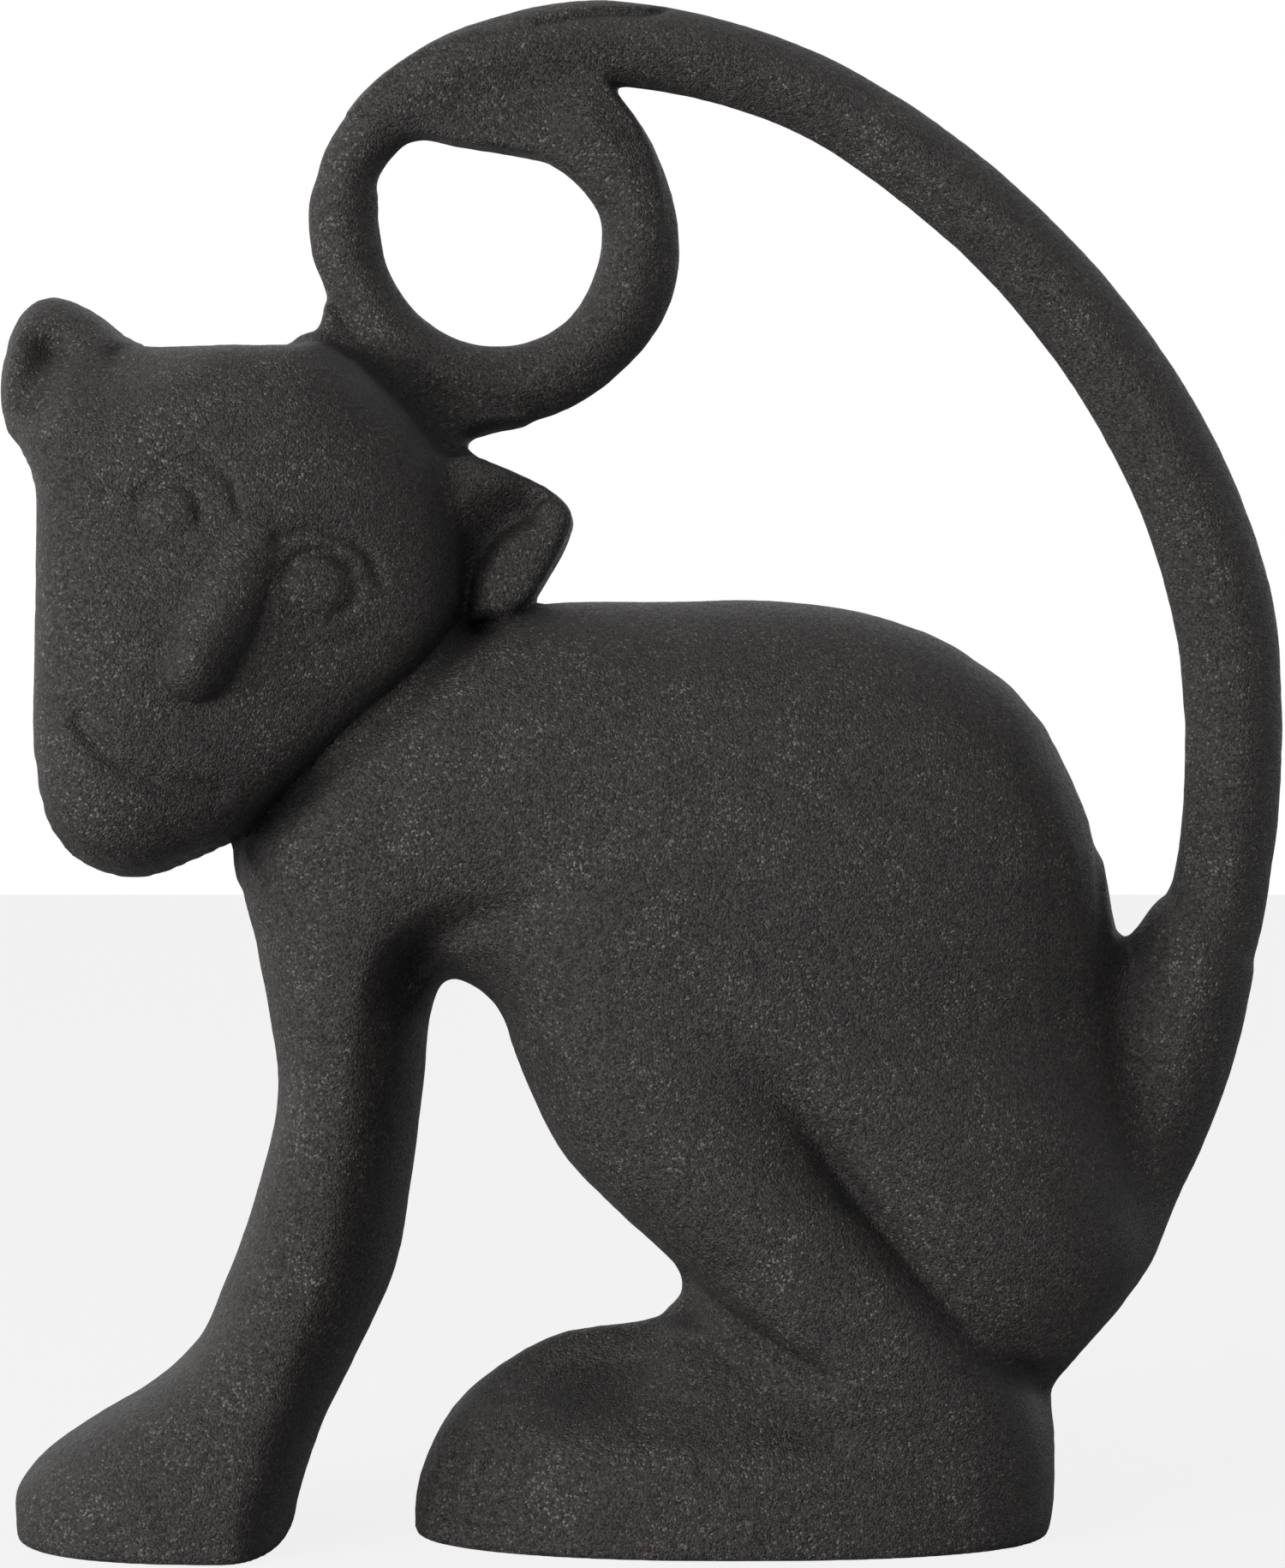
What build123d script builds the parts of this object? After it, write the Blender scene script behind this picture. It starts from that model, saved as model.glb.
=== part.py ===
from build123d import *
from math import cos, radians, sin
import os

os.makedirs("parts", exist_ok=True)

# Cast-iron monkey: two hollow body halves, a head and a tail held between them.
# Frame: X along the monkey from head to tail, Z up from the soles, Y from the viewer.
seam_y = 5.7
fit_gap = 0.1

foreleg_depth = 46.0
foot_depth = 41.0
leg_depth = 48.0
rump_depth = 45.0
torso_depth = 46.0
head_depth = 46.0
tail_flatness = 1.05
wall = 7.0

tail_root_z = 31.0
loop_x = -18.3
loop_z = 158.8
loop_radius = 18.5
loop_bar = 9.3
web_thickness = 6.4

tail_spigot_x = 62.0
tail_spigot_z = 57.0
tail_spigot_diameter = 8.0
tail_spigot_reach = 20.0
neck_spigot_diameter = 10.0
neck_spigot_reach = 13.0
neck_inside = 9.8
neck_down = 7.7
neck_side = 16.2
spigot_head_extra = 5.0
spigot_head_length = 4.0
crown_peg_diameter = 5.0
crown_peg_reach = 9.0
crown_peg_angle = 232.0

screw_places = [(-2.0, 86.0), (29.0, 60.0)]
screw_diameter = 5.0
screw_head_diameter = 9.0
screw_head_height = 3.0
screw_grip = 16.0
screw_thread_depth = 11.0
screw_slot_width = 1.2
screw_slot_depth = 1.3
screw_boss_diameter = 13.0
socket_wall = 4.0

# Level sections of the limbs: height, front edge, back edge, share of the limb's depth.
FORELEG = [
    (0.0, -75.0, -44.4, 0.97),
    (2.0, -76.2, -43.4, 1.0),
    (6.0, -76.2, -42.2, 1.0),
    (10.0, -73.0, -40.7, 0.97),
    (14.0, -67.2, -39.2, 0.93),
    (18.0, -60.4, -37.2, 0.89),
    (23.0, -55.0, -34.7, 0.86),
    (31.0, -51.2, -31.0, 0.82),
    (43.0, -46.9, -28.5, 0.8),
    (55.0, -44.6, -26.9, 0.82),
    (64.0, -45.2, -26.4, 0.86),
    (74.0, -47.3, -22.4, 0.88),
    (84.0, -48.4, -16.0, 0.84),
]
FOOT = [
    (0.0, -27.0, 49.4, 0.98),
    (2.0, -27.7, 50.2, 1.0),
    (7.0, -27.0, 50.5, 1.0),
    (12.0, -25.2, 50.5, 0.94),
    (16.0, -22.4, 50.2, 0.82),
    (20.0, -17.6, 49.0, 0.66),
    (22.6, -12.5, 46.0, 0.5),
    (24.7, -5.0, 38.0, 0.32),
]
LEG = [
    (12.0, 13.0, 49.2, 0.78),
    (20.0, 8.0, 47.5, 0.87),
    (27.0, 5.2, 41.6, 0.92),
    (33.0, 3.6, 36.4, 0.96),
    (39.0, -2.6, 32.0, 0.99),
    (46.0, -9.4, 27.5, 1.0),
    (55.0, -14.3, 24.5, 1.0),
    (64.0, -18.5, 26.0, 1.0),
    (72.0, -22.5, 31.0, 0.99),
    (81.0, -22.0, 33.0, 0.97),
    (89.0, -16.0, 30.0, 0.91),
    (95.0, -6.0, 24.0, 0.78),
]
RUMP = [
    (17.0, 44.0, 49.4, 0.24),
    (21.0, 38.0, 52.6, 0.46),
    (27.0, 31.0, 57.4, 0.7),
    (34.0, 24.0, 61.6, 0.86),
    (43.0, 15.0, 60.2, 0.96),
    (52.0, 7.0, 58.9, 1.0),
    (62.0, -3.0, 58.4, 1.0),
    (74.0, -7.0, 58.1, 0.99),
    (84.0, -4.0, 55.2, 0.94),
    (93.0, 6.0, 51.2, 0.78),
]
# Upright sections of the torso: place along X, lowest edge, highest edge, share of the depth.
TORSO = [
    (-49.8, 80.0, 92.0, 0.3),
    (-46.6, 73.0, 98.0, 0.56),
    (-40.0, 69.0, 105.0, 0.8),
    (-28.0, 68.6, 111.4, 0.93),
    (-14.0, 67.4, 113.6, 0.98),
    (2.0, 60.0, 114.0, 1.0),
    (18.0, 58.0, 113.9, 0.99),
    (30.0, 58.0, 111.8, 0.95),
    (40.0, 60.0, 107.2, 0.85),
    (48.0, 62.0, 100.0, 0.69),
    (53.8, 66.0, 89.0, 0.45),
    (56.2, 70.0, 82.0, 0.22),
]
# Sections of the head along its tilted axis: way down the face, left and right half widths,
# share of the head's depth, shift of the centre towards the viewer.
HEAD = [
    (-26.0, 4.0, 6.0, 0.42, 3.6),
    (-23.6, 9.0, 15.5, 0.66, 4.4),
    (-19.0, 15.6, 21.0, 0.84, 5.4),
    (-11.0, 25.2, 26.0, 0.95, 6.4),
    (0.0, 26.7, 27.6, 1.0, 7.5),
    (11.0, 22.0, 24.0, 0.98, 9.0),
    (21.0, 16.6, 20.0, 0.88, 11.0),
    (31.5, 12.3, 16.4, 0.75, 13.0),
    (37.8, 7.2, 12.2, 0.57, 13.6),
    (42.0, 1.8, 7.4, 0.34, 13.8),
]
# Sections of the nose: way down the face, half width, half depth.
NOSE = [
    (-1.0, 1.6, 1.8),
    (4.0, 2.5, 3.2),
    (10.0, 3.3, 4.6),
    (15.0, 4.1, 6.0),
    (18.0, 3.5, 5.0),
    (19.6, 1.6, 2.6),
]
# Sections of an ear through its thickness: share of half the thickness, share of its size.
EAR = [
    (-1.0, 0.62),
    (-0.72, 0.88),
    (0.0, 1.0),
    (0.72, 0.88),
    (1.0, 0.62),
]
eye_line_x = -48.5
eye_line_z = 120.9
face_tilt = 28.6
eye_down = 0.4
eye_side = 2.35
eye_spread = 9.25
eye_out = 26.2
eye_radius = 4.0
nose_side = 4.2
nose_out = 29.4
ear_thickness = 11.0
ear_hollow_radius = 7.0
ear_hollow_out = 10.8
left_ear_out = 11.0
left_ear_x = -69.4
left_ear_z = 139.7
left_ear_width = 18.0
left_ear_height = 20.8
right_ear_out = 6.0
right_ear_x = -17.8
right_ear_z = 121.9
right_ear_width = 17.4
right_ear_height = 17.4
# Sections of the tail: place along X, share of the rise from root to loop, half width.
TAIL = [
    (55.6, 0.0, 2.4),
    (60.2, 0.067, 4.4),
    (62.6, 0.125, 5.8),
    (64.4, 0.188, 7.0),
    (66.2, 0.25, 7.9),
    (67.9, 0.317, 7.9),
    (70.8, 0.383, 6.1),
    (72.2, 0.462, 5.9),
    (72.3, 0.556, 6.0),
    (71.0, 0.653, 6.0),
    (65.1, 0.783, 5.7),
    (54.6, 0.915, 5.3),
    (38.8, 1.042, 5.2),
    (19.0, 1.142, 5.2),
]
# Sections where the tail curls into the loop: place and height from the loop's centre in
# loop radii, half width.
CURL = [
    (0.83, 1.276, 5.2),
    (-0.04, 1.157, 4.9),
    (-0.59, 0.876, 4.4),
    (-0.9, 0.443, 4.0),
]
# Outline of the web that closes the top of the loop, in loop radii from its centre, the
# straight lip first.
WEB = [
    (-0.69, 0.714),
    (0.395, 0.476),
    (0.746, 0.2),
    (0.935, 0.714),
    (0.935, 1.2),
    (-0.09, 1.119),
]


def level_section(height, front, back, half_depth):
    with BuildSketch(Plane.XY.offset(height)) as section:
        with Locations(((front + back) / 2, seam_y)):
            Ellipse(half_depth, (back - front) / 2, rotation=90)
    return section.sketch


def limb(stations, depth, inset):
    sections = []
    for height, front, back, share in stations:
        sections.append(level_section(height, front + inset, back - inset, share * depth / 2 - inset))
    return sections


def barrel(stations, depth, inset):
    sections = []
    for along, low, high, share in stations:
        with BuildSketch(Plane.YZ.offset(along)) as section:
            with Locations((seam_y, (low + high) / 2)):
                Ellipse(share * depth / 2 - inset, (high - low) / 2 - inset)
        sections.append(section.sketch)
    return sections


face_down = Vector(-sin(radians(face_tilt)), 0, -cos(radians(face_tilt)))
face_right = Vector(cos(radians(face_tilt)), 0, -sin(radians(face_tilt)))
eye_line = Vector(eye_line_x, seam_y, eye_line_z)


def face_point(down, right, toward_viewer):
    return eye_line + face_down * down + face_right * right - Vector(0, toward_viewer, 0)


def head_sections(extra):
    sections = []
    for down, left, right, share, shift in HEAD:
        centre = face_point(down, (right - left) / 2, shift)
        with BuildSketch(Plane(centre, x_dir=face_right, z_dir=face_down)) as section:
            Ellipse((left + right) / 2 + extra, share * head_depth / 2 + extra)
        sections.append(section.sketch)
    return sections


def ring_point(angle, distance):
    return Vector(loop_x + distance * cos(radians(angle)), seam_y, loop_z + distance * sin(radians(angle)))


def loop_point(right, up):
    return Vector(loop_x + right * loop_radius, seam_y, loop_z + up * loop_radius)


rise = loop_z - tail_root_z
tail_stations = [(Vector(x, seam_y, tail_root_z + share * rise), half) for x, share, half in TAIL]
tail_stations += [(loop_point(right, up), half) for right, up, half in CURL]
tail_stations += [(ring_point(angle, loop_radius), loop_bar / 2) for angle in range(184, 406, 20)]


def tail_sections(extra):
    with BuildLine() as path:
        Spline(*[place for place, half in tail_stations])
    curve = path.edge()
    sections = []
    for place, half in tail_stations:
        along = curve.tangent_at(curve.param_at_point(place))
        with BuildSketch(Plane(place, x_dir=(0, 1, 0), z_dir=along)) as section:
            Ellipse(half * tail_flatness + extra, half + extra)
        sections.append(section.sketch)
    return sections


def spigot(start, direction, reach, diameter, extra):
    with BuildPart() as pin:
        with BuildSketch(Plane(start, z_dir=direction)):
            Circle(diameter / 2 + extra)
        extrude(amount=reach)
        with BuildSketch(Plane(start + direction * (reach - spigot_head_length - extra), z_dir=direction)):
            Circle((diameter + spigot_head_extra) / 2 + extra)
        extrude(amount=spigot_head_length + 2 * extra)
    return pin.part


tail_root = Vector(tail_spigot_x, seam_y, tail_spigot_z)
tail_inward = Vector(-1, 0, 0)
neck_root = face_point(neck_down, neck_side, 0)
neck_inward = (face_right * 0.92 + face_down * 0.39).normalized()
neck_reach = neck_inside + neck_spigot_reach
peg_start = ring_point(crown_peg_angle, loop_radius)
peg_inward = (ring_point(crown_peg_angle, 2 * loop_radius) - peg_start).normalized()
peg_length = loop_bar / 2 + crown_peg_reach


def nose_sections():
    sections = []
    for down, half_width, half_depth in NOSE:
        place = face_point(down, nose_side, nose_out)
        with BuildSketch(Plane(place, x_dir=face_right, z_dir=face_down)) as section:
            Ellipse(half_width, half_depth)
        sections.append(section.sketch)
    return sections


def ear_sections(place_x, place_z, out, width, height, tilt):
    sections = []
    for depth_share, size_share in EAR:
        away = out - seam_y + depth_share * ear_thickness / 2
        with BuildSketch(Plane.XZ.offset(away)) as section:
            with Locations((place_x, place_z)):
                Ellipse(size_share * width / 2, size_share * height / 2, rotation=tilt)
        sections.append(section.sketch)
    return sections


with BuildPart() as tail:
    loft(tail_sections(0))
    with BuildSketch(Plane.XZ.offset(-seam_y)):
        with BuildLine():
            Polyline(*[(loop_point(right, up).X, loop_point(right, up).Z) for right, up in WEB], close=True)
        make_face()
    extrude(amount=web_thickness / 2, both=True)
    add(spigot(tail_root, tail_inward, tail_spigot_reach, tail_spigot_diameter, 0))
    with BuildSketch(Plane(peg_start, z_dir=peg_inward)):
        Circle(crown_peg_diameter / 2)
    extrude(amount=peg_length)

with BuildPart() as tail_seat:
    loft(tail_sections(fit_gap))
    add(spigot(tail_root, tail_inward, tail_spigot_reach, tail_spigot_diameter, fit_gap))
    with BuildSketch(Plane(peg_start, z_dir=peg_inward)):
        Circle(crown_peg_diameter / 2 + fit_gap)
    extrude(amount=peg_length + fit_gap)

with BuildPart() as head:
    loft(head_sections(0))
    loft(ear_sections(left_ear_x, left_ear_z, left_ear_out, left_ear_width, left_ear_height, 0))
    loft(ear_sections(right_ear_x, right_ear_z, right_ear_out, right_ear_width, right_ear_height, -face_tilt))
    with Locations(
        (left_ear_x, seam_y - left_ear_out - ear_hollow_out, left_ear_z),
        (right_ear_x, seam_y - right_ear_out - ear_hollow_out, right_ear_z),
    ):
        Sphere(ear_hollow_radius, mode=Mode.SUBTRACT)
    loft(nose_sections())
    with Locations(
        face_point(eye_down, eye_side - eye_spread, eye_out),
        face_point(eye_down, eye_side + eye_spread, eye_out),
    ):
        Sphere(eye_radius)
    add(spigot(neck_root, neck_inward, neck_reach, neck_spigot_diameter, 0))
    add(tail_seat.part, mode=Mode.SUBTRACT)

with BuildPart() as head_seat:
    loft(head_sections(fit_gap))
    add(spigot(neck_root, neck_inward, neck_reach, neck_spigot_diameter, fit_gap))

with BuildPart() as screw:
    with BuildSketch(Plane.XZ.offset(screw_thread_depth - seam_y)):
        Circle(screw_diameter / 2)
    extrude(amount=-screw_thread_depth - screw_grip)
    with BuildSketch(Plane.XZ.offset(-seam_y - screw_grip)):
        Circle(screw_head_diameter / 2)
    extrude(amount=-screw_head_height)
    with Locations((0, seam_y + screw_grip + screw_head_height, 0)):
        Box(screw_head_diameter, 2 * screw_slot_depth, screw_slot_width, mode=Mode.SUBTRACT)

with BuildPart() as body_screws:
    with Locations(*[(x, 0, z) for x, z in screw_places]):
        add(screw.part)

with BuildPart() as core:
    loft(limb(RUMP[3:9], rump_depth, wall))
    loft(limb(LEG[3:9], leg_depth, wall))
    loft(barrel(TORSO[4:10], torso_depth, wall))
    with BuildSketch(Plane(tail_root, z_dir=tail_inward)):
        Circle((tail_spigot_diameter + spigot_head_extra) / 2 + socket_wall)
    extrude(amount=tail_spigot_reach + socket_wall, mode=Mode.SUBTRACT)
    with BuildSketch(Plane.XZ.offset(-seam_y)):
        with Locations(*screw_places):
            Circle(screw_boss_diameter / 2)
    extrude(amount=leg_depth / 2, both=True, mode=Mode.SUBTRACT)

with BuildPart() as body:
    loft(limb(FORELEG, foreleg_depth, 0))
    loft(barrel(TORSO, torso_depth, 0))
    loft(limb(RUMP, rump_depth, 0))
    loft(limb(LEG, leg_depth, 0))
    loft(limb(FOOT, foot_depth, 0))
    add(core.part, mode=Mode.SUBTRACT)
    add(head_seat.part, mode=Mode.SUBTRACT)
    add(tail_seat.part, mode=Mode.SUBTRACT)

with BuildPart() as body_left_half:
    add(body.part)
    split(bisect_by=Plane.XZ.offset(-seam_y), keep=Keep.TOP)
    with BuildSketch(Plane.XZ.offset(-seam_y)):
        with Locations(*screw_places):
            Circle(screw_diameter / 2 + fit_gap)
    extrude(amount=screw_thread_depth + 1, mode=Mode.SUBTRACT)

with BuildPart() as body_right_half:
    add(body.part)
    split(bisect_by=Plane.XZ.offset(-seam_y), keep=Keep.BOTTOM)
    with BuildSketch(Plane.XZ.offset(-seam_y)):
        with Locations(*screw_places):
            Circle(screw_diameter / 2 + fit_gap)
    extrude(amount=-screw_grip, mode=Mode.SUBTRACT)
    with BuildSketch(Plane.XZ.offset(-seam_y - screw_grip)):
        with Locations(*screw_places):
            Circle(screw_head_diameter / 2 + fit_gap)
    extrude(amount=-leg_depth, mode=Mode.SUBTRACT)

body_left_half.part.label = "body_left_half"
body_right_half.part.label = "body_right_half"
head.part.label = "head"
tail.part.label = "tail"
body_screws.part.label = "body_screws"
export_step(body_left_half.part, "parts/body_left_half.step")
export_step(body_right_half.part, "parts/body_right_half.step")
export_step(head.part, "parts/head.step")
export_step(tail.part, "parts/tail.step")
export_step(body_screws.part, "parts/body_screws.step")
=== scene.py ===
"""Looks of a rough cast-iron monkey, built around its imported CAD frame."""
import bpy
import numpy as np
from math import cos, radians, sin
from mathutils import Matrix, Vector


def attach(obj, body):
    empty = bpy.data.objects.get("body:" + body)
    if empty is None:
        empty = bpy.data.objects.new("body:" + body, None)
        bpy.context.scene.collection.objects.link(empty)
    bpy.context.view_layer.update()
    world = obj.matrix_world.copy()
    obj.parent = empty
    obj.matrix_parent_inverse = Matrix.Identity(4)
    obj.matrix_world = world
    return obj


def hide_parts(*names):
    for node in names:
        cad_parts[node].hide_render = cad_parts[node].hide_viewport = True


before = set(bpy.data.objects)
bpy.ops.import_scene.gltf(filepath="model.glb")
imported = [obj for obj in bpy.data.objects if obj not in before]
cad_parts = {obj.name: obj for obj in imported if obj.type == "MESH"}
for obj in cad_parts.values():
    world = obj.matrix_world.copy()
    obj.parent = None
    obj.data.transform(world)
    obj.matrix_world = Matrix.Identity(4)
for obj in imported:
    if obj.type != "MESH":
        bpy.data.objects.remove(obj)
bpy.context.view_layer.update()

# Lengths are in millimetres until a mesh is made. Depth is counted from the seam plane,
# negative towards the viewer.
METRE = 0.001
SEAM = 5.7
# Neighbours overlap by a hair, so that no light shows through a joint.
OVERLAP = 0.04

# Spacing of the sample points.
BODY_PITCH = 0.6
HEAD_PITCH = 0.45
TAIL_PITCH = 0.45

# The photo in pixels, and the camera, which stands level with the middle of the figure.
PHOTO_WIDTH = 1500
PHOTO_HEIGHT = 1830
PIXEL = 0.105
VIEW_DISTANCE = 520.0
VIEW_HEIGHT = 91.665

FORELEG_DEPTH = 46.0
FOOT_DEPTH = 41.0
LEG_DEPTH = 48.0
RUMP_DEPTH = 45.0
TORSO_DEPTH = 46.0

# Level sections: height, front edge, back edge, share of the depth.
FORELEG = [
    (-4.0, -76.0, -43.6, 1.0),
    (0.0, -76.0, -43.3, 1.0),
    (3.0, -76.2, -42.8, 1.0),
    (6.0, -76.0, -42.0, 1.0),
    (10.0, -72.8, -40.7, 0.97),
    (14.0, -67.0, -39.2, 0.93),
    (18.0, -60.3, -37.2, 0.89),
    (23.0, -54.8, -34.7, 0.86),
    (31.0, -50.8, -31.0, 0.82),
    (43.0, -46.6, -28.5, 0.8),
    (55.0, -44.2, -27.0, 0.82),
    (64.0, -45.3, -26.0, 0.86),
    (72.0, -46.8, -23.0, 0.88),
    (79.0, -47.2, -19.0, 0.86),
    (88.0, -47.6, -16.0, 0.76),
]
FOOT = [
    (-4.0, -27.6, 49.4, 1.0),
    (0.0, -27.6, 49.4, 1.0),
    (3.0, -27.7, 50.0, 1.0),
    (7.0, -27.1, 50.2, 1.0),
    (10.5, -25.8, 50.2, 0.98),
    (13.0, -24.5, 50.1, 0.93),
    (15.5, -22.8, 49.8, 0.79),
    (18.0, -20.4, 49.2, 0.54),
    (21.0, -16.4, 47.4, 0.31),
    (23.4, -12.0, 44.0, 0.22),
    (25.2, -6.2, 36.0, 0.15),
    (26.3, 3.0, 30.0, 0.08),
]
LEG = [
    (3.0, 20.0, 48.2, 0.62),
    (12.0, 16.0, 48.8, 0.76),
    (20.0, 11.5, 47.0, 0.86),
    (27.0, 7.5, 43.5, 0.92),
    (33.0, 4.3, 38.5, 0.96),
    (39.0, -2.0, 34.5, 0.99),
    (46.0, -9.0, 30.0, 1.0),
    (55.0, -13.8, 26.0, 1.0),
    (64.0, -16.8, 24.0, 0.98),
    (72.0, -16.8, 22.0, 0.93),
    (82.0, -12.0, 22.0, 0.8),
    (90.0, -4.0, 18.0, 0.6),
]
RUMP = [
    (17.5, 43.0, 49.4, 0.2),
    (21.0, 38.0, 52.3, 0.44),
    (27.0, 31.0, 57.1, 0.7),
    (34.0, 26.0, 61.3, 0.87),
    (43.0, 19.0, 60.4, 0.96),
    (52.0, 13.0, 58.9, 1.0),
    (62.0, 6.0, 58.2, 1.01),
    (74.0, 6.0, 57.2, 1.0),
    (82.0, 8.0, 55.0, 0.94),
    (90.0, 12.0, 51.8, 0.8),
    (97.0, 18.0, 48.0, 0.6),
]
# Upright sections: place along X, lowest edge, highest edge, share of the depth.
TORSO = [
    (-48.6, 80.0, 92.0, 0.3),
    (-45.6, 75.0, 98.0, 0.58),
    (-40.0, 71.0, 105.0, 0.82),
    (-28.0, 68.8, 111.3, 0.95),
    (-14.0, 67.4, 113.4, 0.99),
    (2.0, 60.0, 113.8, 1.0),
    (18.0, 58.0, 113.7, 0.985),
    (30.0, 58.0, 111.6, 0.935),
    (40.0, 60.0, 107.0, 0.83),
    (47.6, 62.0, 99.8, 0.67),
    (52.4, 66.0, 89.0, 0.46),
    (55.0, 70.0, 82.0, 0.22),
]
# Widest line of the foreleg: height, share of the way from front to back.
FORELEG_RIDGE = [(0, 0.8), (13, 0.72), (24, 0.58), (36, 0.54), (51, 0.5), (66, 0.54), (88, 0.6)]
# Rounded top of the hind foot in front of the shin: middle and half sizes.
INSTEP = (11.0, 0.0, 18.0)
INSTEP_SIZE = (12.5, 16.0, 8.5)

# Creases and marks: spots of the photo, each with its distance in front of the seam.
HAUNCH_CREASE = [
    (890, 1215, 22), (960, 1335, 22), (1030, 1438, 22), (1100, 1528, 21), (1165, 1592, 18),
    (1240, 1612, 14),
]
SHIN_CREASE = [(992, 1624, 21), (954, 1604, 21), (876, 1556, 21), (806, 1500, 18)]
ARMPIT_FOLD = [(440, 1210, 16), (448, 1140, 18), (495, 1082, 19), (575, 1052, 20), (665, 1056, 20)]
THROAT_CREASE = [(296, 992, 14), (304, 1006, 14), (313, 1024, 14)]
JAW_CREASE = [
    (268, 984, 19), (330, 940, 19), (396, 884, 19), (466, 824, 19), (516, 772, 18), (556, 735, 17),
]
# Toe marks: pixel across the photo at the top and at the bottom of each.
TOES = [(552, 519), (597, 552), (630, 581)]

# Outlines in spots of the photo, and their distance in front of the seam.
HEAD_TOWARD = 12
HEAD_OUTLINE = [
    (182, 404), (260, 402), (330, 401), (375, 398), (425, 430), (475, 480), (520, 545), (536, 610),
    (540, 680), (530, 740), (505, 790), (455, 838), (400, 885), (335, 940), (285, 976), (240, 996),
    (195, 1016), (160, 1022), (122, 1015), (93, 998), (71, 970), (57, 930), (50, 875), (48, 800),
    (49, 700), (50, 620), (43, 560), (26, 528), (6, 498), (1, 452), (6, 404), (18, 367), (36, 348),
    (60, 342), (94, 354), (120, 371), (147, 392),
]
RIGHT_EAR_TOWARD = 6
RIGHT_EAR = [
    (500, 560), (545, 536), (592, 551), (640, 573), (667, 600), (662, 630), (640, 672), (618, 705),
    (580, 730), (530, 742), (505, 660),
]
LOOP_FOOT_TOWARD = 2
LOOP_FOOT = [
    (356, 406), (373, 388), (383, 356), (425, 395), (480, 440), (545, 466), (610, 488), (572, 502),
    (541, 514), (530, 545), (480, 530), (410, 460),
]

# The face is counted to the right and down from a point between the eyes.
EYE_LINE = (-48.5, 120.9)
FACE_TILT = radians(28.6)
FACE_TOWARD = 30
# Most that the head's skin stands off its middle sheet on the near and the far side, and what
# it loses at the right cheek, at the left ear and behind that ear.
HEAD_NEAR = 23.0
HEAD_FAR = 23.5
CHEEK_LOSS = 2.5
EAR_LOSS = 7.0
EAR_BACK_LOSS = 20.0
# Middle sheet of the head: way down the face, distance in front of the seam.
HEAD_SHEET = [(-28, 5.0), (0, 7.5), (20, 10.0), (44, 15.0)]

RIGHT_EAR_VALLEY = [(616, 600, 9), (580, 622, 9), (556, 655, 9), (544, 690, 9), (538, 725, 9)]
LEFT_EAR_HOLLOW = [(64, 418, 12), (58, 446, 12), (55, 474, 12)]
LEFT_EAR_DIMPLE = [(140, 418, 12), (144, 426, 12)]
NOSE = [(298, 636, 30), (258, 722, 32), (226, 780, 33)]
# Share of the way down the nose, and its height or half width there.
NOSE_RISE = [(0, 0.6), (0.25, 2.2), (0.6, 3.5), (0.9, 4.2), (1.0, 4.0)]
NOSE_WIDTH = [(0, 2.4), (0.4, 3.6), (1, 3.9)]
# Eyeballs: spot of the photo, radius, height, width of the edge.
EYES = [((369, 681), 3.5, 0.55, 1.6), ((196, 594), 3.1, 0.4, 2.4)]
EYE_RIM = 0.7
# Lids, brows and the line under the right eye: width, depth, spots of the photo.
FACE_LINES = [
    (0.7, 0.55, [(331, 668), (340, 652), (360, 642), (384, 645), (404, 660)]),
    (0.7, 0.25, [(414, 686), (405, 707), (384, 720)]),
    (0.8, 0.65, [(322, 630), (368, 616), (418, 634), (440, 676)]),
    (0.8, 0.7, [(158, 577), (184, 567), (214, 567), (229, 582), (233, 604)]),
    (0.8, 0.6, [(186, 541), (236, 537), (265, 555), (278, 590)]),
    (0.8, 0.2, [(327, 730), (380, 750), (440, 723)]),
]
MOUTH = [(97, 844, 28), (118, 872, 29), (150, 896, 29), (200, 917, 29), (250, 924, 29)]
MOUTH_WIDTH = 1.25

LOOP = (-18.3, 157.3)
# Ring of the loop: turn, radius to the middle of the bar, half width.
RING = [
    (165, 19.0, 3.9),
    (195, 17.1, 4.1),
    (225, 16.9, 4.7),
    (270, 16.9, 4.9),
    (315, 17.2, 4.6),
    (345, 17.8, 5.0),
    (375, 18.2, 4.6),
    (410, 18.2, 5.0),
]
# Middle of the tail: place along X, height, half width.
TAIL = [
    (54.6, 31.5, 2.2),
    (59.2, 40.0, 4.6),
    (62.2, 47.5, 6.0),
    (64.2, 55.0, 7.0),
    (66.0, 63.0, 7.6),
    (67.7, 71.0, 7.5),
    (70.0, 76.0, 6.2),
    (71.1, 81.0, 5.8),
    (72.2, 90.0, 5.9),
    (72.3, 102.0, 6.0),
    (70.8, 114.5, 6.2),
    (64.9, 131.0, 6.0),
    (54.4, 147.8, 5.6),
    (38.8, 164.0, 5.2),
    (19.0, 176.9, 4.95),
    (-3.0, 182.4, 5.2),
    (-19.0, 180.2, 4.9),
    (-28.4, 175.4, 4.3),
    (-32.8, 171.8, 3.8),
    (-35.7, 167.4, 3.7),
    (-36.6, 162.3, 3.8),
    (-36.2, 157.3, 3.9),
]
# Section of the tail's bar: power of its rounding, depth for each width.
BAR_POWER = 1.65
BAR_FLATNESS = 1.05
# Web across the top of the loop: straight lip, half depth, and the round that holds it.
LIP = [(470, 152, 0), (530, 168, 0), (610, 181, 0), (655, 194, 0), (702, 232, 0)]
WEB_HALF = 3.4
WEB_LIFT = 5.5
WEB_RADIUS = 20.0
LOOP_FOOT_HALF = 4.4
SLIT = [(630, 28, 3), (690, 18, 3), (755, 16, 3), (772, 11, 3)]

# Roughness of the sand: height, grain size, seed.
ROUGHNESS = [(0.035, 0.9, 1), (0.03, 2.3, 2), (0.06, 7.0, 3)]
# Patches of the painted shade on the tops of the feet: size and seed.
FOOT_SHADE_SIZE = 5.0
FOOT_SHADE_SEED = 4

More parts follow.
